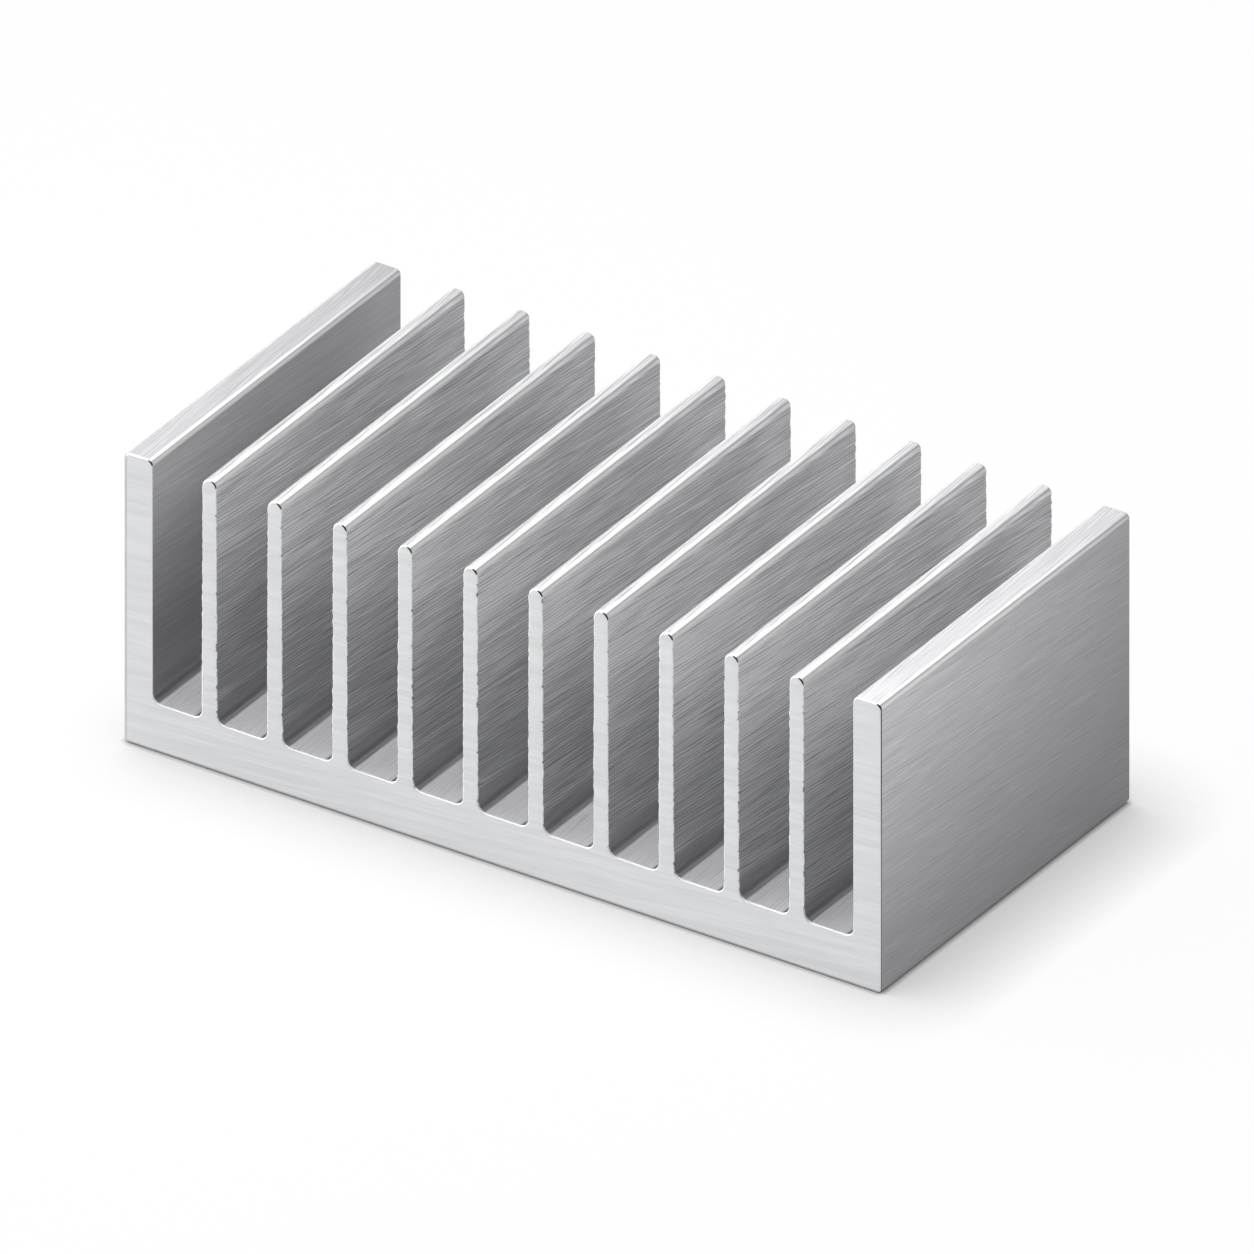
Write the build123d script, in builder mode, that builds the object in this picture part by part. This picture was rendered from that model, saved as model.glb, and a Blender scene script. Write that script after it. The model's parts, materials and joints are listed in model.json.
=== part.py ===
from build123d import *
import math
import os

# Extruded aluminium heat sink, one piece: a flat base, two thick end walls and ten thin
# fins between them. +X runs across the fins, +Y along the extrusion and +Z up.
# The origin is at the middle of the underside. All sizes are in millimetres.

# Overall sizes
overall_width = 80.0
extrusion_length = 40.0
overall_height = 29.6

# Sections of the profile
base_thickness = 4.9
end_wall_thickness = 3.0
fin_count = 10
fin_root_thickness = 1.65
fin_tip_thickness = 1.5
end_channel_width = 5.15  # clear width at the floor between an end wall and its first fin

# Rounds of the profile
fin_tip_radius = 0.7
end_wall_tip_radius = 0.6
channel_floor_radius = 0.9
base_corner_radius = 0.5

# Edges eased after sawing, all round both ends
sawn_edge_break = 0.2

# Limits that keep the rounds inside a thin fin
largest_share_of_fin = 0.48
largest_share_of_tip_round = 0.6

# Sizes that follow
fin_height = overall_height - base_thickness
fin_side_angle = math.degrees(math.atan2(fin_height, (fin_root_thickness - fin_tip_thickness) / 2))
first_fin_from_side = end_wall_thickness + end_channel_width + fin_root_thickness / 2
fin_pitch = (overall_width - 2 * first_fin_from_side) / (fin_count - 1)
end_wall_from_middle = (overall_width - end_wall_thickness) / 2
fin_tip_round = min(fin_tip_radius, largest_share_of_fin * fin_tip_thickness)
edge_break = min(sawn_edge_break, largest_share_of_tip_round * fin_tip_round)

# Section of one fin, a little thinner at its rounded tip than at its root
with BuildSketch() as fin_section:
    Trapezoid(fin_root_thickness, fin_height, fin_side_angle, align=(Align.CENTER, Align.MIN))
    fillet(fin_section.vertices().group_by(Axis.Y)[-1], fin_tip_round)

with BuildPart() as heat_sink:
    with BuildSketch(Plane.XZ) as profile:
        # Base slab and the two end walls, with rounded tops
        Rectangle(overall_width, base_thickness, align=(Align.CENTER, Align.MIN))
        with Locations((-end_wall_from_middle, 0), (end_wall_from_middle, 0)):
            Rectangle(end_wall_thickness, overall_height, align=(Align.CENTER, Align.MIN))
        fillet(profile.vertices().group_by(Axis.Y)[-1], end_wall_tip_radius)
        # Row of fins on the base
        with Locations((0, base_thickness)):
            with GridLocations(fin_pitch, 0, fin_count, 1):
                add(fin_section.sketch)
        # Rounds in the floor of each channel and along the base's lower corners
        underside_corners, floor_corners = profile.vertices().group_by(Axis.Y)[:2]
        fillet(floor_corners, channel_floor_radius)
        fillet(underside_corners, base_corner_radius)
    extrude(amount=extrusion_length / 2, both=True)
    # Edges left by the saw, eased all round the profile at both ends
    end_faces = heat_sink.faces().filter_by(Axis.Y)
    chamfer(end_faces.edges(), edge_break)

heat_sink.part.label = "heat_sink"

os.makedirs("parts", exist_ok=True)
export_step(heat_sink.part, "parts/heat_sink.step")
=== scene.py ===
import json
import math
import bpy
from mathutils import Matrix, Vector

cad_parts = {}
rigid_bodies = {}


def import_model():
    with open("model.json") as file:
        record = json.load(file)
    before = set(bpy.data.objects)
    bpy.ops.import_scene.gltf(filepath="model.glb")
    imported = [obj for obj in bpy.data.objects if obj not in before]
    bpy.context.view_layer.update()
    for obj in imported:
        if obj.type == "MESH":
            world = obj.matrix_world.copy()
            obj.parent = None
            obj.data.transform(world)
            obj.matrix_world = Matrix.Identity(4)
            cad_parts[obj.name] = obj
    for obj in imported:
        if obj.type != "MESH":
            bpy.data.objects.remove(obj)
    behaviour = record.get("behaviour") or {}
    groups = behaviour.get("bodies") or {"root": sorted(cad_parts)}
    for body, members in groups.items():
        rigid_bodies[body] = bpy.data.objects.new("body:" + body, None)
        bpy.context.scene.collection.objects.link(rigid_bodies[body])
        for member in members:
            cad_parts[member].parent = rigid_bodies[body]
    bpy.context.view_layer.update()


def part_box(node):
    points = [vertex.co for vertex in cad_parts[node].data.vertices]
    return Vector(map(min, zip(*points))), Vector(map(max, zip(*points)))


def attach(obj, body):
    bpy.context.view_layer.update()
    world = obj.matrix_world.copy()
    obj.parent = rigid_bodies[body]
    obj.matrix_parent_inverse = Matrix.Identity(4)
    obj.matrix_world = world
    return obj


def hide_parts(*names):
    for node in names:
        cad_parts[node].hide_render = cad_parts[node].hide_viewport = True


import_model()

from types import SimpleNamespace

import bmesh
import bpy
from bpy.props import FloatProperty, FloatVectorProperty, IntProperty, PointerProperty
from bpy.types import NodeSocket, Operator, Panel, PropertyGroup
from mathutils import Vector

bl_info = {
    "name": "Extruded Heat Sink",
    "version": (1, 0, 0),
    "blender": (4, 5, 0),
    "location": "3D View > Sidebar > Heat Sink",
    "description": "Models an extruded aluminium heat sink, its brushed finish and a plain studio",
    "category": "Add Mesh",
}

NODE = "heat_sink"
LOW, HIGH = (Vector(corner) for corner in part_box(NODE))

MM = 0.001  # metres

# Soft round lamps: name, azimuth from the front and elevation in degrees, distance in metres,
# diameter as a share of the distance, and how bright a white face turned to it becomes, where 1 is white
LAMPS = (
    ("overhead", 0, 88, 0.25, 0.5, 0.50),
    ("left_low", -60, 12, 1.0, 0.5, 0.37),
    ("left", -93, 38, 1.0, 0.5, 0.34),
    ("left_back", -120, 64, 0.25, 0.5, 0.20),
    ("front_left", -57, 38, 1.0, 0.5, 0.19),
    ("front", -21, 38, 0.25, 0.5, 0.11),
)
# Cards behind the heat sink that only the metal mirrors
CARDS = (
    ("high_card", -170, 66, 1.0, 0.8, 0.30),
    ("low_card", -170, 27, 1.0, 0.8, 0.22),
    ("side_card", 155, 37, 1.0, 0.5, 0.06),
)
ACROSS, ALONG, UP = Vector((1, 0, 0)), Vector((0, 1, 0)), Vector((0, 0, 1))
CLOSE = 0.001 * MM  # two places nearer than this are the same
# Flat strips in a round: at the tips and channel floors, along the base's lower corners, and at the sawn edges
TIP_SEGMENTS, BASE_SEGMENTS, EDGE_SEGMENTS = 8, 6, 4
SMOOTH_BELOW = math.radians(35)  # a fold sharper than this stays crisp
SHADOW_SAMPLES = 4  # rays that look for the object from each point of the floor


def linear(hex_colour):
    """Turn an sRGB hex colour into the linear numbers that the shaders work in."""
    channels = [int(hex_colour[start:start + 2], 16) / 255 for start in (1, 3, 5)]
    return tuple(c / 12.92 if c <= 0.04045 else ((c + 0.055) / 1.055) ** 2.4 for c in channels)


def length(name, description, millimetres):
    """A size in metres, with its default given in millimetres."""
    return FloatProperty(
        name=name, description=description, default=millimetres * MM, min=0, subtype="DISTANCE", unit="LENGTH"
    )


def colour(name, description, hex_colour):
    return FloatVectorProperty(
        name=name, description=description, default=linear(hex_colour), min=0, max=1, size=3, subtype="COLOR"
    )


def angle(name, description, degrees):
    return FloatProperty(
        name=name, description=description, default=math.radians(degrees), subtype="ANGLE", unit="ROTATION"
    )


def share(name, description, default):
    return FloatProperty(name=name, description=description, default=default, min=0, max=1, subtype="FACTOR")


class HeatSinkSizes(PropertyGroup):
    width: length("Width", "Overall width across the fins", (HIGH.x - LOW.x) / MM)
    depth: length("Depth", "Length of the extrusion between its sawn ends", (HIGH.y - LOW.y) / MM)
    height: length("Height", "Height from the underside to the tips", (HIGH.z - LOW.z) / MM)
    base: length("Base", "Thickness of the base", 4.9)
    end_wall: length("End Wall", "Thickness of each end wall", 3.0)
    fins: IntProperty(name="Fins", description="Thin fins between the end walls", default=10, min=2)
    fin_root: length("Fin Root", "Thickness of a fin where it meets the base", 1.65)
    fin_tip: length("Fin Tip", "Thickness of a fin below its rounded tip", 1.5)
    end_channel: length("End Channel", "Clear width beside an end wall, at the floor", 5.15)
    fin_tip_round: length("Fin Tip Round", "Radius along a fin's tip", 0.7)
    wall_tip_round: length("Wall Tip Round", "Radius along an end wall's top", 0.6)
    floor_round: length("Floor Round", "Radius in the corners of a channel's floor", 0.9)
    base_round: length("Base Round", "Radius along the base's lower corners", 0.5)
    sawn_round: length("Sawn Edge", "Radius eased all round both sawn ends", 0.15)
    burr: length("Burr", "How far the saw pushed the edges of a fin to and fro", 0.22)
    burr_pitch: length("Burr Pitch", "Spacing of the waves in those edges", 0.45)


class HeatSinkFinish(PropertyGroup):
    drawn_dark: colour("Drawn Dark", "Drawn faces, in the fine grooves that the die leaves", "#7F8083")
    drawn_bright: colour("Drawn Bright", "Drawn faces, on the lines that stand up", "#FBFBFD")
    sawn_dark: colour("Sawn Dark", "Sawn ends, in the brush lines", "#E9EAEB")
    sawn_bright: colour("Sawn Bright", "Sawn ends, between the brush lines", "#F4F5F6")
    burnished: colour("Burnished", "Edges that were eased after sawing, and the rounded tips", "#FBFBFB")
    # Painted grey reflection along the right of each tip
    band: colour("Band", "Dull band along the right of each tip, where the die pressed hardest", "#B4B6B9")
    # Grey for the nicks, and for painted shade and painted dark reflection on eased edges, along the foot and down the
    # left rim
    nicks_and_painted_shade: colour("Dull", "Eased edges where the saw came in, nicks in them, and the edge it stands on", "#6F7174")
    # Painted dark reflection at the turns over the tips and high on the outer right edge
    corner: colour("Corner", "Sharp turns of the eased edge over the tips", "#1C1E20")
    line_pitch: length("Line Pitch", "From one drawing line to the next", 0.32)
    line_length: length("Line Length", "Length of one drawing line", 6)
    line_depth: length("Line Depth", "Depth of the drawing lines", 0.03)
    line_tilt: angle("Line Tilt", "Turn of the drawing lines on upright faces away from the extrusion", -1.5)
    fin_contrast: share("Fin Contrast", "Strength of the lines on the fins", 0.48)
    wall_contrast: share("Wall Contrast", "Strength of the lines outside the channels and on the end walls", 0.2)
    # Painted light and shade on the drawn faces: how bright they are outside, on the fins, inside the end walls and on
    # the channel floors, and how far painted shade darkens them towards their foot, far end and left
    outer_brightness: share("Outer Brightness", "Where the outside lies between drawn dark and bright", 0.92)
    fin_brightness: share("Fin Brightness", "The same on the fins", 1.0)
    wall_brightness: share("Wall Brightness", "The same inside the end walls", 0.82)
    floor_brightness: share("Floor Brightness", "The same on the channel floors", 1.0)
    root_shade: share("Root Shade", "Brightness that is left at the foot of an outer face", 0.55)
    channel_shade: share("Channel Shade", "Brightness that is left at the foot of a face inside a channel", 0.83)
    far_shade: share("Far Shade", "Brightness that is left at the far end of an upright face", 0.62)
    left_shade: share("Left Shade", "Brightness that is left at the left side", 0.76)
    level_share: share("Level Share", "How much of the foot and far shade a level face takes", 0.33)
    # Painted shade at the foot of a channel's sides, down into its rounds
    foot_reach: length("Foot Reach", "How far above a channel floor its sides begin to darken", 2.4)
    painted_foot_darkness: share("Foot Tint", "Brightness of a channel's sides where they meet the floor", 0.3)
    # Painted contact shadow along the edge the heat sink stands on
    painted_contact_shadow: share("Foot Line", "Strength of the dull line along the edge the heat sink stands on", 0.7)
    # Painted shade down the left of a sawn end
    left_rim_shade: share("Left Rim", "Strength of the dull line down the left of a sawn end", 0.35)
    # Painted shade on the tips' burnish towards the far end
    far_tip_shade: share("Far Burnish", "Burnish that is left on the tips at their far end", 0.4)
    # Where on each tip the painted grey reflection lies
    tip_reflection_turn: share("Band Turn", "How far a tip turns to the right at its dull band, from 0 level to 1 upright", 0.69)
    sawn_pitch: length("Sawn Line Pitch", "From one brush line to the next on the sawn ends", 0.45)
    sawn_length: length("Sawn Line Length", "Length of one brush line on the sawn ends", 9)
    sawn_tilt: angle("Sawn Line Tilt", "Turn of the brush lines away from level", 4.7)
    nick_size: length("Nick Size", "Size of the nicks that the saw left in the edges of the fins", 0.5)
    flat_roughness: share("Flat Roughness", "Roughness of the drawn and brushed flats", 0.75)
    root_roughness: share("Root Roughness", "Roughness of the channel floors", 1.0)
    fillet_roughness: share("Fillet Roughness", "Roughness of the rounds in the channel floors", 0.35)
    round_roughness: share("Round Roughness", "Roughness of the tips and eased edges", 0.38)


class StudioSettings(PropertyGroup):
    azimuth: angle("Azimuth", "Camera's turn to the right of the front", 33.34)
    elevation: angle("Elevation", "Camera's height angle", 30.57)
    view_width: length("View Width", "Width that the picture takes in", 110.7)
    camera_distance: length("Camera Distance", "From the middle of the heat sink to the camera", 400)
    floor: colour("Floor", "Plain white floor", "#FCFCFC")
    floor_glow: share("Floor Glow", "How far the floor is lit through, which lightens the shadow", 0.95)
    sky_azimuth: angle("Sky Azimuth", "Middle of the studio's far side, from the front to the right", 160)
    sky_elevation: angle("Sky Elevation", "Height angle of that middle", 35)
    back_sky: share("Back Sky", "How bright the studio's far side is in the metal", 0.26)
    front_sky: share("Front Sky", "How bright the studio's near side is in the metal", 0.08)
    shadow_reach: length("Shadow Reach", "How far from the object's foot its soft shadow reaches", 10)
    contact_reach: length("Contact Reach", "How far from its foot a thin dark contact shadow reaches", 0.6)
    shadow_depth: share("Shadow Depth", "How much of the glow the shadow takes where it is darkest", 0.6)
    shadow_azimuth: angle("Shadow Azimuth", "Where most light comes from, from the front to the right", -80)
    shadow_tilt: angle("Shadow Tilt", "How far from straight above that light comes", 35)


def direction_of(azimuth, elevation):
    """The direction to something that stands at an azimuth from the front and at an elevation."""
    return Vector((
        math.sin(azimuth) * math.cos(elevation), -math.cos(azimuth) * math.cos(elevation), math.sin(elevation)
    ))


def deselect_all():
    for thing in bpy.context.view_layer.objects:
        thing.select_set(False)


def select(body, kind, wanted):
    """In edit mode, select the vertices, edges or faces for which wanted gives true, and no others."""
    bpy.ops.mesh.select_mode(type=kind)
    bpy.ops.mesh.select_all(action="DESELECT")
    mesh = bmesh.from_edit_mesh(body.data)
    for element in {"VERT": mesh.verts, "EDGE": mesh.edges, "FACE": mesh.faces}[kind]:
        if wanted(element):
            element.select_set(True)
    mesh.select_flush_mode()
    bmesh.update_edit_mesh(body.data)


def runs(edge, direction):
    """Whether an edge runs along a direction."""
    return abs((edge.verts[1].co - edge.verts[0].co).normalized().dot(direction)) > math.cos(math.radians(1))


def middle(edge):
    return (edge.verts[0].co + edge.verts[1].co) / 2


def fin_row(sizes):
    """Place of the first fin's middle, and the pitch from one fin to the next."""
    first = -sizes.width / 2 + sizes.end_wall + sizes.end_channel + sizes.fin_root / 2
    return first, -2 * first / (sizes.fins - 1)


class MESH_OT_heat_sink_body(Operator):
    """Model the extrusion: its section first, drawn along its length, then its rounds and sawn edges"""

    bl_idname = "mesh.heat_sink_body"
    bl_label = "Heat Sink Body"
    bl_options = {"REGISTER", "UNDO"}

    def execute(self, context):
        sizes = context.scene.heat_sink_sizes
        deselect_all()
        self.plates = self.plan_plates(sizes)
        body = self.draw_section(sizes)
        self.draw_extrusion(body, sizes)
        self.round_corners(body, sizes)
        self.ease_sawn_ends(body, sizes)
        self.roughen_sawn_fins(body, sizes)
        self.shade(body)
        body.data.materials.clear()
        body.data.materials.append(extruded_aluminium(sizes, context.scene.heat_sink_finish))
        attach(body, "root")
        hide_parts(NODE)
        return {"FINISHED"}

    def plan_plates(self, sizes):
        """Left and right side of each upright plate at the base, from left to right."""
        side = sizes.width / 2
        first, pitch = fin_row(sizes)
        fins = [first + number * pitch for number in range(sizes.fins)]
        plates = [(-side, -side + sizes.end_wall)]
        plates += [(fin - sizes.fin_root / 2, fin + sizes.fin_root / 2) for fin in fins]
        plates += [(side - sizes.end_wall, side)]
        return plates

    def draw_section(self, sizes):
        """Draw the comb-shaped section as a flat sheet at the front end."""
        bpy.ops.mesh.primitive_plane_add(
            size=1, location=(0, -sizes.depth / 2, sizes.base / 2), rotation=(math.radians(90), 0, 0)
        )
        body = bpy.context.object
        body.name = body.data.name = "heat_sink_body"
        body.scale = (sizes.width, sizes.base, 1)
        bpy.ops.object.transform_apply(location=True, rotation=True, scale=True)
        bpy.ops.object.mode_set(mode="EDIT")
        cuts = [side for plate in self.plates for side in plate][1:-1]
        for cut in cuts:
            bpy.ops.mesh.select_all(action="SELECT")
            bpy.ops.mesh.bisect(plane_co=(cut, 0, 0), plane_no=ACROSS)
        select(body, "EDGE", lambda edge: self.on_plate_foot(edge, sizes))
        rise = UP * (sizes.height - sizes.base)
        bpy.ops.mesh.extrude_region_move(TRANSFORM_OT_translate={"value": rise})
        # A fin's sides lean in a little towards its tip
        lean = (sizes.fin_root - sizes.fin_tip) / 2
        for side, shift in ((0, lean), (1, -lean)):
            places = [plate[side] for plate in self.plates[1:-1]]
            select(body, "VERT", lambda vertex: vertex.co.z > sizes.height - CLOSE and self.is_at(vertex, places))
            bpy.ops.transform.translate(value=ACROSS * shift)
        return body

    def on_plate_foot(self, edge, sizes):
        place = middle(edge)
        return abs(place.z - sizes.base) < CLOSE and any(low < place.x < high for low, high in self.plates)

    def is_at(self, vertex, places):
        return any(abs(vertex.co.x - place) < CLOSE for place in places)

    def draw_extrusion(self, body, sizes):
        """Draw the section along the whole depth, and clear the lines left inside flat faces."""
        bpy.ops.mesh.select_all(action="SELECT")
        bpy.ops.mesh.extrude_region_move(TRANSFORM_OT_translate={"value": ALONG * sizes.depth})
        bpy.ops.mesh.select_all(action="SELECT")
        bpy.ops.mesh.normals_make_consistent(inside=False)
        bpy.ops.mesh.dissolve_limited(angle_limit=math.radians(0.05))

    def round_corners(self, body, sizes):
        """Round the tips, the channel floors and the base's lower corners, all along the extrusion."""
        inner = sizes.width / 2 - sizes.end_wall

        def is_at_top(place):
            return place.z > sizes.height - CLOSE

        rounds = (
            (sizes.fin_tip_round, TIP_SEGMENTS, lambda place: is_at_top(place) and abs(place.x) < inner - CLOSE),
            (sizes.wall_tip_round, TIP_SEGMENTS, lambda place: is_at_top(place) and abs(place.x) > inner - CLOSE),
            (sizes.floor_round, TIP_SEGMENTS, lambda place: abs(place.z - sizes.base) < CLOSE),
            (sizes.base_round, BASE_SEGMENTS, lambda place: place.z < CLOSE),
        )
        for radius, segments, is_corner in rounds:
            select(body, "EDGE", lambda edge: runs(edge, ALONG) and is_corner(middle(edge)))
            bpy.ops.mesh.bevel(offset=radius, segments=segments, profile=0.5, affect="EDGES")

    def ease_sawn_ends(self, body, sizes):
        """Round the edges all round both sawn ends, behind a line that keeps the sides flat."""
        self.margin = 3 * sizes.sawn_round
        for end in (-1, 1):
            bpy.ops.mesh.select_all(action="SELECT")
            bpy.ops.mesh.bisect(plane_co=ALONG * end * (sizes.depth / 2 - self.margin), plane_no=ALONG)
        select(body, "EDGE", lambda edge: all(abs(v.co.y) > sizes.depth / 2 - CLOSE for v in edge.verts))
        bpy.ops.mesh.bevel(offset=sizes.sawn_round, segments=EDGE_SEGMENTS, profile=0.5, affect="EDGES")

    def roughen_sawn_fins(self, body, sizes):
        """Wave the upright sawn edges of the thin fins to and fro, as a saw leaves them."""
        inner = sizes.width / 2 - sizes.end_wall - CLOSE
        sawn = sizes.depth / 2 - self.margin
        long_edge = (sizes.height - sizes.base) / 2

        def is_fin_edge(edge):
            place = middle(edge)
            upright = runs(edge, UP) and edge.calc_length() > long_edge
            return upright and abs(place.x) < inner and abs(place.y) > sawn - CLOSE

        select(body, "EDGE", is_fin_edge)
        steps = round((sizes.height - sizes.base) / (sizes.burr_pitch / 3))
        bpy.ops.mesh.subdivide(number_cuts=steps)
        bpy.ops.object.mode_set(mode="OBJECT")
        group = body.vertex_groups.new(name="sawn_fin_edges")
        low, high = sizes.base + sizes.floor_round, sizes.height - sizes.fin_tip_round
        for vertex in body.data.vertices:
            place = vertex.co
            if abs(place.x) < inner and abs(place.y) > sawn + CLOSE and low < place.z < high:
                group.add([vertex.index], 1, "REPLACE")
        bpy.ops.object.modifier_add(type="DISPLACE")
        wave = body.modifiers[-1]
        wave.texture = bpy.data.textures.new("saw_waves", type="CLOUDS")
        wave.texture.noise_scale = sizes.burr_pitch
        wave.texture.noise_depth = 2
        wave.texture_coords = "LOCAL"
        wave.direction = "X"
        wave.mid_level = 0.5
        wave.strength = sizes.burr
        wave.vertex_group = group.name
        bpy.ops.object.modifier_apply(modifier=wave.name)
        body.vertex_groups.clear()

    def shade(self, body):
        """Smooth the rounds, and keep the flats flat right up to them."""
        bpy.ops.object.shade_smooth_by_angle(angle=SMOOTH_BELOW)
        bpy.ops.object.modifier_add(type="WEIGHTED_NORMAL")
        flats = body.modifiers[-1]
        flats.weight = 100
        flats.keep_sharp = True
        bpy.ops.object.modifier_apply(modifier=flats.name)


def add_node(tree, kind, inputs=None, **settings):
    """Add a node with its settings, set or link its inputs, and return its outputs."""
    node = tree.nodes.new(kind)
    for name, value in settings.items():
        setattr(node, name, value)
    for name, value in (inputs or {}).items():
        if isinstance(value, NodeSocket):
            tree.links.new(value, node.inputs[name])
        else:
            node.inputs[name].default_value = value
    return node.outputs


def new_material(name):
    material = bpy.data.materials.new(name)
    material.use_nodes = True
    material.node_tree.nodes.clear()
    return material


def line_pattern(tree, place, turn, pitch, run, ruled):
    """Fine parallel lines, ruled ones mixed with loose ones: 0 in a groove, 1 on a crest."""
    cells = add_node(
        tree, "ShaderNodeMapping", {"Vector": place, "Rotation": turn, "Scale": (pitch, run, pitch)},
        vector_type="TEXTURE",
    )[0]
    # A band is 0.628 units from crest to crest
    bands = add_node(
        tree, "ShaderNodeTexWave",
        {"Vector": cells, "Scale": 0.628, "Distortion": 8, "Detail": 2, "Detail Scale": 0.5},
        wave_type="BANDS", bands_direction="DIAGONAL",
    )["Fac"]
    noise = add_node(tree, "ShaderNodeTexNoise", {"Vector": cells, "Scale": 0.8, "Detail": 4, "Distortion": 0.4})["Fac"]
    noise = add_node(tree, "ShaderNodeMapRange", {"Value": noise, "From Min": 0.3, "From Max": 0.7})[0]
    return add_node(tree, "ShaderNodeMix", {"Factor": ruled, "A": noise, "B": bands})["Result"]


def find_places(tree, sizes, finish):
    """Where a point lies and which way it faces, with masks that are 1 on one kind of place and 0 elsewhere."""
    at = SimpleNamespace()
    at.place = add_node(tree, "ShaderNodeTexCoord")["Object"]
    normal = add_node(tree, "ShaderNodeNewGeometry")["Normal"]
    at.spot = add_node(tree, "ShaderNodeSeparateXYZ", {0: at.place})
    at.towards = add_node(tree, "ShaderNodeSeparateXYZ", {0: normal})
    # The same two without their signs
    away = add_node(tree, "ShaderNodeVectorMath", {0: at.place}, operation="ABSOLUTE")[0]
    away = add_node(tree, "ShaderNodeSeparateXYZ", {0: away})
    facing = add_node(tree, "ShaderNodeVectorMath", {0: normal}, operation="ABSOLUTE")[0]
    at.facing = add_node(tree, "ShaderNodeSeparateXYZ", {0: facing})
    flattest = add_node(tree, "ShaderNodeMath", {0: at.facing["X"], 1: at.facing["Z"]}, operation="MAXIMUM")[0]
    flattest = add_node(tree, "ShaderNodeMath", {0: flattest, 1: at.facing["Y"]}, operation="MAXIMUM")[0]

    inner = sizes.width / 2 - sizes.end_wall
    roots = sizes.base + sizes.floor_round
    tips = sizes.height - sizes.fin_tip_round
    edges = sizes.depth / 2 - sizes.sawn_round
    # Name of a mask, what it reads, and where that makes it 0 and 1
    for name, value, none, full in (
        ("end", at.facing["Y"], 0.6, 0.8),
        ("fin", away["X"], inner - 0.1 * MM, inner - 0.3 * MM),
        ("inside", away["X"], inner + 0.2 * MM, inner),
        ("root", at.spot["Z"], roots + 0.4 * MM, roots - 0.1 * MM),
        ("tip", at.spot["Z"], tips - 0.3 * MM, tips),
        ("round", flattest, 0.998, 0.97),
        ("edge", away["Y"], edges - 0.02 * MM, edges),
    ):
        mask = add_node(tree, "ShaderNodeMapRange", {"Value": value, "From Min": none, "From Max": full})[0]
        setattr(at, name, mask)
    at.root = add_node(tree, "ShaderNodeMath", {0: at.root, 1: at.inside}, operation="MULTIPLY")[0]
    at.root = add_node(tree, "ShaderNodeMix", {"Factor": at.end, "A": at.root, "B": 0.0})["Result"]
    at.fillet = add_node(tree, "ShaderNodeMath", {0: at.root, 1: at.round}, operation="MULTIPLY")[0]
    at.edge = add_node(tree, "ShaderNodeMath", {0: at.edge, 1: at.round}, operation="MULTIPLY")[0]
    # Burnished: the eased edges, and the rounded tips, which lose some of it towards the far end as painted shade
    far_tip_fade = add_node(
        tree, "ShaderNodeMapRange",
        {"Value": at.spot["Y"], "From Min": -sizes.depth / 4, "From Max": sizes.depth / 2, "To Min": 1,
         "To Max": finish.far_tip_shade},
    )[0]
    at.burnished = add_node(tree, "ShaderNodeMath", {0: at.tip, 1: at.round}, operation="MULTIPLY")[0]
    at.burnished = add_node(tree, "ShaderNodeMath", {0: at.burnished, 1: far_tip_fade}, operation="MULTIPLY")[0]
    at.burnished = add_node(tree, "ShaderNodeMath", {0: at.burnished, 1: at.edge}, operation="MAXIMUM")[0]
    return at


def line_contrast(tree, at, finish):
    """Strength of the lines. It is greater on the fins, where the die drags more."""
    contrast = finish.wall_contrast
    for mask, value in ((at.fin, finish.fin_contrast), (at.root, finish.wall_contrast)):
        contrast = add_node(tree, "ShaderNodeMix", {"Factor": mask, "A": contrast, "B": value})["Result"]
    return contrast


def painted_drawn_light(tree, at, sizes, finish):
    """Brightness of the drawn faces: painted light, with painted shade towards their foot, their far end and the left.
    """
    level = finish.outer_brightness
    for mask, value in ((at.inside, finish.wall_brightness), (at.fin, finish.fin_brightness)):
        level = add_node(tree, "ShaderNodeMix", {"Factor": mask, "A": level, "B": value})["Result"]
    # Painted shade towards the foot, the far end and the left
    foot_shade = add_node(
        tree, "ShaderNodeMix", {"Factor": at.inside, "A": finish.root_shade, "B": finish.channel_shade}
    )["Result"]
    foot_shade = add_node(
        tree, "ShaderNodeMapRange",
        {"Value": at.spot["Z"], "From Min": sizes.base, "From Max": sizes.height - 3 * MM, "To Min": foot_shade},
    )[0]
    far_shade = add_node(
        tree, "ShaderNodeMapRange",
        {"Value": at.spot["Y"], "From Min": -sizes.depth / 2, "From Max": sizes.depth / 2, "To Min": 1,
         "To Max": finish.far_shade},
    )[0]
    left_shade = add_node(
        tree, "ShaderNodeMapRange",
        {"Value": at.spot["X"], "From Min": -sizes.width / 2, "From Max": sizes.width / 2,
         "To Min": finish.left_shade},
    )[0]
    upright = add_node(tree, "ShaderNodeMath", {0: far_shade, 1: foot_shade}, operation="MULTIPLY")[0]
    sideways = add_node(tree, "ShaderNodeMapRange", {"Value": at.facing["X"], "To Min": finish.level_share})[0]
    upright = add_node(tree, "ShaderNodeMix", {"Factor": sideways, "A": 1.0, "B": upright})["Result"]
    for factor in (left_shade, upright):
        level = add_node(tree, "ShaderNodeMath", {0: level, 1: factor}, operation="MULTIPLY")[0]
    return add_node(tree, "ShaderNodeMix", {"Factor": at.root, "A": level, "B": finish.floor_brightness})["Result"]


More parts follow.
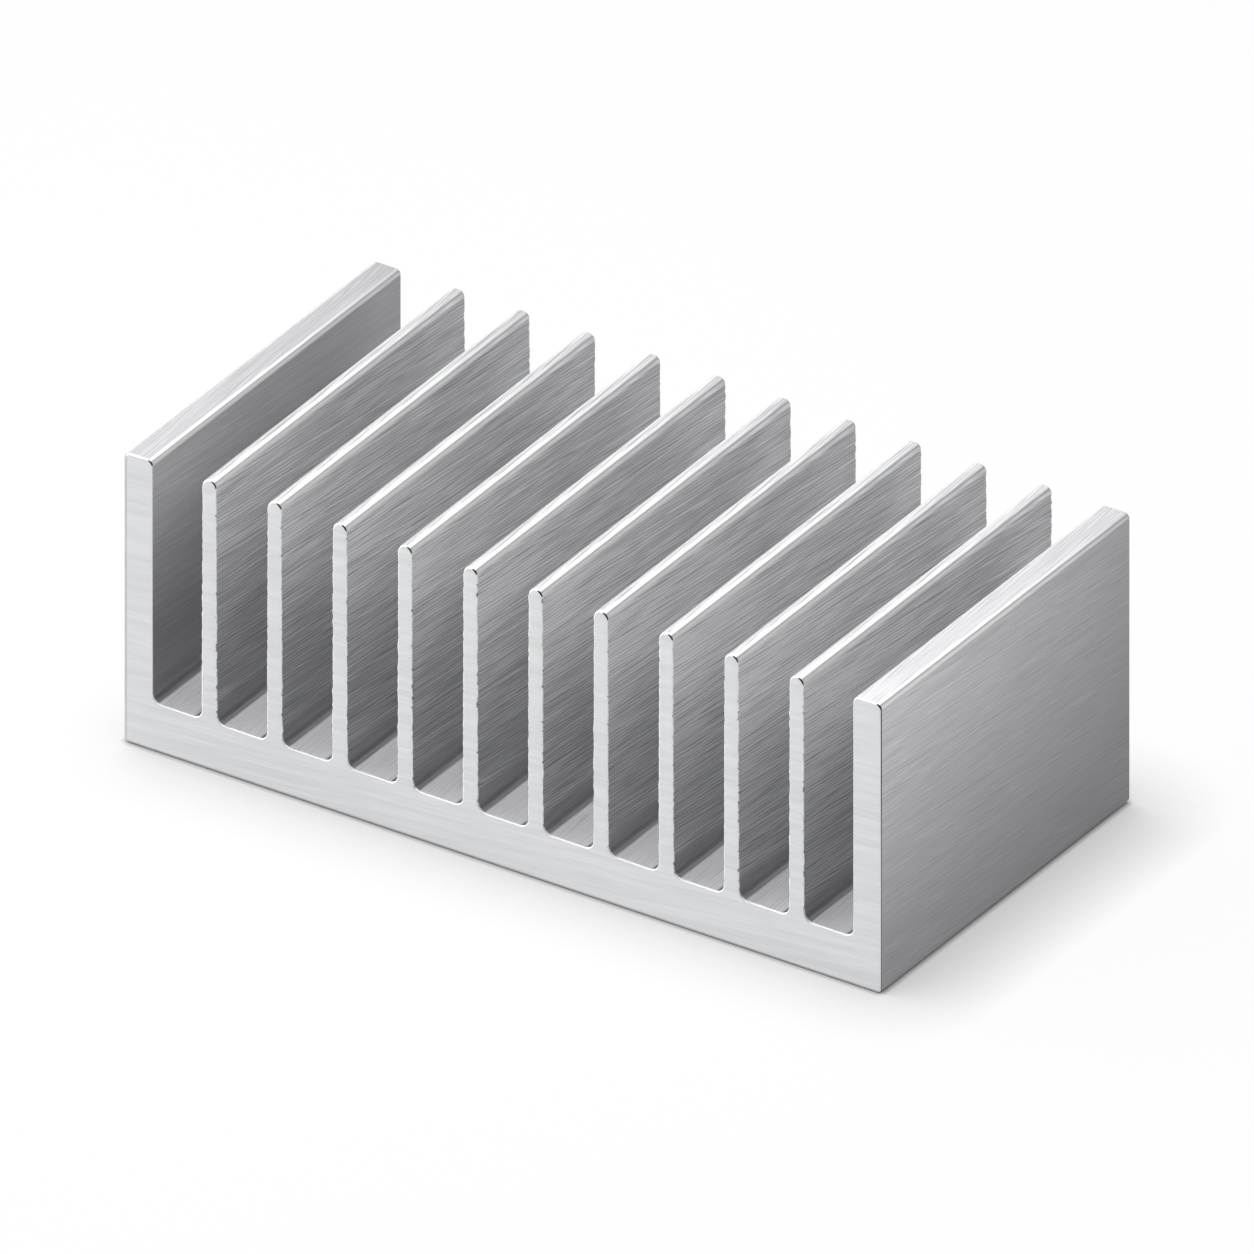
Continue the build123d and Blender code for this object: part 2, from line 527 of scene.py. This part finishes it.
def painted_floor_highlight(tree, at, sizes):
    """Mask of the painted highlight along each channel floor, where the floor meets its left round."""
    first, pitch = fin_row(sizes)
    painted_highlight = add_node(tree, "ShaderNodeMath", {0: at.spot["X"], 1: first}, operation="SUBTRACT")[0]
    painted_highlight = add_node(tree, "ShaderNodeMath", {0: painted_highlight, 1: pitch, 2: 0.0}, operation="WRAP")[0]
    beside_fin = sizes.fin_root / 2 + sizes.floor_round
    painted_highlight = add_node(tree, "ShaderNodeMath", {0: painted_highlight, 1: beside_fin}, operation="SUBTRACT")[0]
    painted_highlight = add_node(tree, "ShaderNodeMath", {0: painted_highlight}, operation="ABSOLUTE")[0]
    painted_highlight = add_node(
        tree, "ShaderNodeMapRange", {"Value": painted_highlight, "From Min": 0.45 * MM, "From Max": 0.1 * MM}
    )[0]
    return add_node(tree, "ShaderNodeMath", {0: painted_highlight, 1: at.root}, operation="MULTIPLY")[0]


def channel_foot_shade_mask(tree, at, sizes, finish):
    """Mask of painted shade at the foot of a channel's sides, which darkens them right down into their rounds."""
    low_down = add_node(
        tree, "ShaderNodeMapRange",
        {"Value": at.spot["Z"], "From Min": sizes.base + finish.foot_reach, "From Max": sizes.base + 0.6 * MM},
    )[0]
    foot = add_node(tree, "ShaderNodeMapRange", {"Value": at.facing["X"], "From Min": 0.2, "From Max": 0.4})[0]
    for mask in (low_down, at.inside):
        foot = add_node(tree, "ShaderNodeMath", {0: foot, 1: mask}, operation="MULTIPLY")[0]
    return foot


def painted_edge_shade_and_nicks(tree, at, sizes, finish, outer_right):
    """Mask of nicks and painted shade: eased edges on the left (painted shade), on the outer right (painted dark
    reflection) and in nicks, the painted contact shadow along the foot, and painted shade down the left rim.
    """
    # Painted shade on eased edges that face left
    left = add_node(tree, "ShaderNodeMapRange", {"Value": at.towards["X"], "From Min": -0.3, "From Max": -0.6})[0]
    # The saw nicked the upright edges of the fins here and there
    nicks = add_node(
        tree, "ShaderNodeTexNoise", {"Vector": at.place, "Scale": 1 / finish.nick_size, "Detail": 1}
    )["Fac"]
    nicks = add_node(tree, "ShaderNodeMapRange", {"Value": nicks, "From Min": 0.6, "From Max": 0.66})[0]
    for mask in (at.fin, at.facing["X"]):
        nicks = add_node(tree, "ShaderNodeMath", {0: nicks, 1: mask}, operation="MULTIPLY")[0]
    nicks_and_painted_shade = left
    # Nicks, and painted dark reflection on the outer right eased edge
    for mask in (nicks, outer_right):
        nicks_and_painted_shade = add_node(tree, "ShaderNodeMath", {0: nicks_and_painted_shade, 1: mask}, operation="MAXIMUM")[0]
    nicks_and_painted_shade = add_node(tree, "ShaderNodeMath", {0: nicks_and_painted_shade, 1: at.edge}, operation="MULTIPLY")[0]
    # Painted contact shadow along the edge the heat sink stands on
    painted_contact_shadow = add_node(
        tree, "ShaderNodeMapRange",
        {"Value": at.spot["Z"], "From Min": 0.3 * MM, "From Max": 0.05 * MM, "To Max": finish.painted_contact_shadow},
    )[0]
    # Painted shade down the left rim of each sawn end
    side = -sizes.width / 2
    rim = add_node(
        tree, "ShaderNodeMapRange",
        {"Value": at.spot["X"], "From Min": side + 0.35 * MM, "From Max": side + 0.2 * MM, "To Max": finish.left_rim_shade},
    )[0]
    rim = add_node(tree, "ShaderNodeMath", {0: rim, 1: at.end}, operation="MULTIPLY")[0]
    for mask in (painted_contact_shadow, rim):
        nicks_and_painted_shade = add_node(tree, "ShaderNodeMath", {0: nicks_and_painted_shade, 1: mask}, operation="MAXIMUM")[0]
    return nicks_and_painted_shade


def painted_dark_reflections(tree, at, sizes, outer_right):
    """Mask of painted dark reflections: the nearly black turns at the right of each tip, and the outer right edge down
    to its middle.
    """
    turn = add_node(tree, "ShaderNodeMath", {0: at.towards["X"], 1: at.towards["Z"]}, operation="MULTIPLY")[0]
    turn = add_node(tree, "ShaderNodeMath", {0: turn, 1: at.facing["Y"]}, operation="MULTIPLY")[0]
    turn = add_node(tree, "ShaderNodeMapRange", {"Value": turn, "From Min": 0.05, "From Max": 0.09})[0]
    turn = add_node(tree, "ShaderNodeMath", {0: turn, 1: at.tip}, operation="MULTIPLY")[0]
    upper = add_node(
        tree, "ShaderNodeMapRange",
        {"Value": at.spot["Z"], "From Min": 0.4 * sizes.height, "From Max": 0.75 * sizes.height},
    )[0]
    for mask in (outer_right, at.edge):
        upper = add_node(tree, "ShaderNodeMath", {0: upper, 1: mask}, operation="MULTIPLY")[0]
    return add_node(tree, "ShaderNodeMath", {0: turn, 1: upper}, operation="MAXIMUM")[0]


def painted_tip_reflection(tree, at, finish):
    """Mask of the painted grey reflection along the right of each tip."""
    band = add_node(tree, "ShaderNodeMath", {0: at.towards["X"], 1: finish.tip_reflection_turn}, operation="SUBTRACT")[0]
    band = add_node(tree, "ShaderNodeMath", {0: band}, operation="ABSOLUTE")[0]
    band = add_node(tree, "ShaderNodeMapRange", {"Value": band, "From Min": 0.16, "From Max": 0.02})[0]
    band = add_node(tree, "ShaderNodeMath", {0: band, 1: at.tip}, operation="MULTIPLY")[0]
    return add_node(tree, "ShaderNodeMix", {"Factor": at.edge, "A": band, "B": 0.0})["Result"]


def extruded_aluminium(sizes, finish):
    """6063 aluminium as it leaves the die and the saw.

    Fine drawing lines run along every drawn face, and fainter brush lines run across the sawn ends. They stretch
    each reflection across the lines, which gives the satin look. The rounded tips and the eased edges are
    smoother and catch crisp bright lines. Painted light and shade set how bright the drawn faces are, darker towards
    their foot, their far end and the left, and painted shade darkens the sides of the channels down into their
    rounds. A painted highlight runs along each channel floor, a painted grey reflection along each tip, and painted
    shade and painted dark reflections line some eased edges, where the saw also left nicks on its way in.
    """
    material = new_material("extruded_aluminium")
    tree = material.node_tree
    at = find_places(tree, sizes, finish)

    # Drawing lines, drawn as coarse as the picture needs to show them, and brush lines across the ends
    tilt = add_node(tree, "ShaderNodeMath", {0: at.facing["X"], 1: finish.line_tilt}, operation="MULTIPLY")[0]
    tilt = add_node(tree, "ShaderNodeCombineXYZ", {"X": tilt})[0]
    drawn = line_pattern(tree, at.place, tilt, finish.line_pitch, finish.line_length, 0.5)
    turned = add_node(tree, "ShaderNodeMapping", {"Vector": at.place, "Rotation": (0, 0, math.radians(90))})[0]
    sawn = line_pattern(tree, turned, (finish.sawn_tilt, 0, 0), finish.sawn_pitch, finish.sawn_length, 0.15)
    lines = add_node(tree, "ShaderNodeMix", {"Factor": at.end, "A": drawn, "B": sawn})["Result"]

    # How bright each point of a drawn face is, between its dark and its bright colour, with painted light and shade in
    # it
    contrast = line_contrast(tree, at, finish)
    groove = add_node(tree, "ShaderNodeMath", {0: 1.0, 1: contrast}, operation="SUBTRACT")[0]
    crest = add_node(tree, "ShaderNodeMath", {0: 1.0, 1: contrast}, operation="ADD")[0]
    tint = add_node(tree, "ShaderNodeMapRange", {"Value": drawn, "To Min": groove, "To Max": crest})[0]
    level = painted_drawn_light(tree, at, sizes, finish)
    tint = add_node(tree, "ShaderNodeMath", {0: tint, 1: level}, operation="MULTIPLY")[0]
    # Painted shade at the foot of the channels' sides
    foot = channel_foot_shade_mask(tree, at, sizes, finish)
    tint = add_node(tree, "ShaderNodeMix", {"Factor": foot, "A": tint, "B": finish.painted_foot_darkness})["Result"]
    # Painted highlight along each channel floor
    painted_highlight = painted_floor_highlight(tree, at, sizes)
    tint = add_node(tree, "ShaderNodeMath", {0: tint, 1: painted_highlight}, operation="MAXIMUM")[0]

    # Colour of drawn and sawn metal, then of the burnish, the nicks, and the painted shade and painted reflections over
    # them
    drawn_metal = add_node(
        tree, "ShaderNodeMix", {"Factor": tint, "A": (*finish.drawn_dark, 1), "B": (*finish.drawn_bright, 1)},
        data_type="RGBA",
    )["Result"]
    sawn_metal = add_node(
        tree, "ShaderNodeMix", {"Factor": sawn, "A": (*finish.sawn_dark, 1), "B": (*finish.sawn_bright, 1)},
        data_type="RGBA",
    )["Result"]
    metal = add_node(
        tree, "ShaderNodeMix", {"Factor": at.end, "A": drawn_metal, "B": sawn_metal}, data_type="RGBA"
    )["Result"]
    # Outer right faces, whose eased edge gets painted dark reflection
    outer_right = add_node(tree, "ShaderNodeMapRange", {"Value": at.towards["X"], "From Min": 0.6, "From Max": 0.8})[0]
    outer_right = add_node(tree, "ShaderNodeMix", {"Factor": at.inside, "A": outer_right, "B": 0.0})["Result"]
    for mask, paint in (
        (at.burnished, finish.burnished),
        (painted_tip_reflection(tree, at, finish), finish.band),
        (painted_edge_shade_and_nicks(tree, at, sizes, finish, outer_right), finish.nicks_and_painted_shade),
        (painted_dark_reflections(tree, at, sizes, outer_right), finish.corner),
    ):
        metal = add_node(
            tree, "ShaderNodeMix", {"Factor": mask, "A": metal, "B": (*paint, 1)}, data_type="RGBA"
        )["Result"]

    # Where the painted highlight runs up into the left round, it is as matt as the floor
    roughness = finish.flat_roughness
    for mask, value in (
        (at.root, finish.root_roughness), (at.fillet, finish.fillet_roughness), (painted_highlight, finish.root_roughness),
        (at.burnished, finish.round_roughness),
    ):
        roughness = add_node(tree, "ShaderNodeMix", {"Factor": mask, "A": roughness, "B": value})["Result"]
    relief = add_node(tree, "ShaderNodeMix", {"Factor": at.round, "A": contrast, "B": 0.0})["Result"]
    bump = add_node(
        tree, "ShaderNodeBump", {"Height": lines, "Distance": finish.line_depth, "Strength": relief}
    )[0]
    # The grain runs along the extrusion on drawn faces and across the sawn ends
    grain = add_node(
        tree, "ShaderNodeMix", {"Factor": at.end, "A": tuple(ALONG), "B": tuple(ACROSS)}, data_type="VECTOR"
    )["Result"]
    shader = add_node(
        tree, "ShaderNodeBsdfPrincipled",
        {"Base Color": metal, "Metallic": 1, "Roughness": roughness, "Normal": bump, "Tangent": grain,
         "Anisotropic": 0.9, "Anisotropic Rotation": 0.25},
    )[0]
    add_node(tree, "ShaderNodeOutputMaterial", {"Surface": shader})
    return material


class SCENE_OT_studio_camera(Operator):
    """Add a camera with parallel lines of sight, turned and raised as in the photograph"""

    bl_idname = "scene.studio_camera"
    bl_label = "Studio Camera"
    bl_options = {"REGISTER", "UNDO"}

    def execute(self, context):
        studio = context.scene.studio_settings
        target = (LOW + HIGH) / 2
        outwards = direction_of(studio.azimuth, studio.elevation)
        deselect_all()
        bpy.ops.object.camera_add(location=target + outwards * studio.camera_distance)
        camera = context.object
        camera.name = "camera"
        camera.rotation_euler = outwards.to_track_quat("Z", "Y").to_euler()
        camera.data.type = "ORTHO"
        camera.data.ortho_scale = studio.view_width
        camera.data.clip_start = 0.01
        camera.data.clip_end = 20
        context.scene.camera = camera
        return {"FINISHED"}


class SCENE_OT_studio_stage(Operator):
    """Add the plain floor, the soft lamps and the pale surroundings"""

    bl_idname = "scene.studio_stage"
    bl_label = "Studio Stage"
    bl_options = {"REGISTER", "UNDO"}

    def execute(self, context):
        studio = context.scene.studio_settings
        deselect_all()
        bpy.ops.mesh.primitive_plane_add(size=8, location=(0, 0, LOW.z - 0.02 * MM))
        floor = context.object
        floor.name = floor.data.name = "floor"
        floor.data.materials.append(studio_floor(studio))
        for name, azimuth, elevation, distance, breadth, level in LAMPS + CARDS:
            towards = direction_of(math.radians(azimuth), math.radians(elevation))
            deselect_all()
            bpy.ops.object.light_add(type="AREA", location=(LOW + HIGH) / 2 + towards * distance)
            lamp = context.object
            lamp.name = lamp.data.name = name
            lamp.rotation_euler = towards.to_track_quat("Z", "Y").to_euler()
            lamp.data.shape = "DISK"
            lamp.data.size = distance * breadth
            lamp.data.energy = level * (math.pi * distance) ** 2
        for name, *_ in CARDS:
            bpy.data.objects[name].visible_diffuse = False
        context.scene.world = surroundings(studio)
        context.scene.view_settings.view_transform = "Standard"
        return {"FINISHED"}


def studio_floor(studio):
    """White matt paper, lit through from below where it is seen or mirrored, so the shadow on it stays light."""
    material = new_material("white_paper")
    tree = material.node_tree
    paper = add_node(tree, "ShaderNodeBsdfDiffuse", {"Color": (*studio.floor, 1)})[0]
    # Less shines through beside the object, most of all on the side that faces away from the light
    light = direction_of(studio.shadow_azimuth, math.pi / 2 - studio.shadow_tilt)
    light = add_node(tree, "ShaderNodeCombineXYZ", {"X": light.x, "Y": light.y, "Z": light.z})[0]
    soft = add_node(
        tree, "ShaderNodeAmbientOcclusion", {"Distance": studio.shadow_reach, "Normal": light}, samples=SHADOW_SAMPLES
    )["AO"]
    soft = add_node(tree, "ShaderNodeMapRange", {"Value": soft, "To Min": 1 - studio.shadow_depth})[0]
    contact = add_node(
        tree, "ShaderNodeAmbientOcclusion", {"Distance": studio.contact_reach}, samples=SHADOW_SAMPLES
    )["AO"]
    shadow = add_node(tree, "ShaderNodeMath", {0: soft, 1: contact}, operation="MULTIPLY")[0]
    glow = add_node(tree, "ShaderNodeEmission", {"Color": (1, 1, 1, 1), "Strength": shadow})[0]
    seen = add_node(tree, "ShaderNodeMath", {0: seen_or_mirrored(tree), 1: studio.floor_glow}, operation="MULTIPLY")[0]
    surface = add_node(tree, "ShaderNodeMixShader", {0: seen, 1: paper, 2: glow})[0]
    add_node(tree, "ShaderNodeOutputMaterial", {"Surface": surface})
    return material


def seen_or_mirrored(tree):
    """1 for what the camera sees, also in metal or through glass, and 0 for light on its way to matt things."""
    ray = add_node(tree, "ShaderNodeLightPath")
    seen = add_node(tree, "ShaderNodeMath", {0: ray["Is Camera Ray"], 1: ray["Is Glossy Ray"]}, operation="MAXIMUM")[0]
    return add_node(tree, "ShaderNodeMath", {0: seen, 1: ray["Is Transmission Ray"]}, operation="MAXIMUM")[0]


def surroundings(studio):
    """White behind the object. The metal mirrors a pale far side and a dim near side of the studio."""
    world = bpy.data.worlds.new("studio")
    world.use_nodes = True
    tree = world.node_tree
    tree.nodes.clear()
    way = add_node(tree, "ShaderNodeTexCoord")["Generated"]
    far_side = direction_of(studio.sky_azimuth, studio.sky_elevation)
    facing = add_node(tree, "ShaderNodeVectorMath", {0: way, 1: far_side}, operation="DOT_PRODUCT")["Value"]
    mirrored = add_node(
        tree, "ShaderNodeMapRange",
        {"Value": facing, "From Min": 0.0, "From Max": 0.5, "To Min": studio.front_sky, "To Max": studio.back_sky},
    )[0]
    ray = add_node(tree, "ShaderNodeLightPath")
    strength = add_node(tree, "ShaderNodeMath", {0: mirrored, 1: seen_or_mirrored(tree)}, operation="MULTIPLY")[0]
    strength = add_node(tree, "ShaderNodeMath", {0: strength, 1: ray["Is Camera Ray"]}, operation="MAXIMUM")[0]
    light = add_node(tree, "ShaderNodeBackground", {"Color": (1, 1, 1, 1), "Strength": strength})[0]
    add_node(tree, "ShaderNodeOutputWorld", {"Surface": light})
    return world


class VIEW3D_PT_heat_sink(Panel):
    bl_label = "Heat Sink"
    bl_space_type = "VIEW_3D"
    bl_region_type = "UI"
    bl_category = "Heat Sink"

    def draw(self, context):
        column = self.layout.column()
        for group in ("heat_sink_sizes", "heat_sink_finish", "studio_settings"):
            settings = getattr(context.scene, group)
            for name in settings.__annotations__:
                column.prop(settings, name)
            column.separator()
        for step in STEPS:
            column.operator(step)


CLASSES = (
    HeatSinkSizes,
    HeatSinkFinish,
    StudioSettings,
    SCENE_OT_studio_camera,
    MESH_OT_heat_sink_body,
    SCENE_OT_studio_stage,
    VIEW3D_PT_heat_sink,
)
STEPS = ("scene.studio_camera", "mesh.heat_sink_body", "scene.studio_stage")


def register():
    for each in CLASSES:
        bpy.utils.register_class(each)
    bpy.types.Scene.heat_sink_sizes = PointerProperty(type=HeatSinkSizes)
    bpy.types.Scene.heat_sink_finish = PointerProperty(type=HeatSinkFinish)
    bpy.types.Scene.studio_settings = PointerProperty(type=StudioSettings)


def unregister():
    del bpy.types.Scene.studio_settings
    del bpy.types.Scene.heat_sink_finish
    del bpy.types.Scene.heat_sink_sizes
    for each in reversed(CLASSES):
        bpy.utils.unregister_class(each)


def main():
    register()
    bpy.ops.scene.studio_camera()
    bpy.ops.mesh.heat_sink_body()
    bpy.ops.scene.studio_stage()


if __name__ == "__main__":
    main()
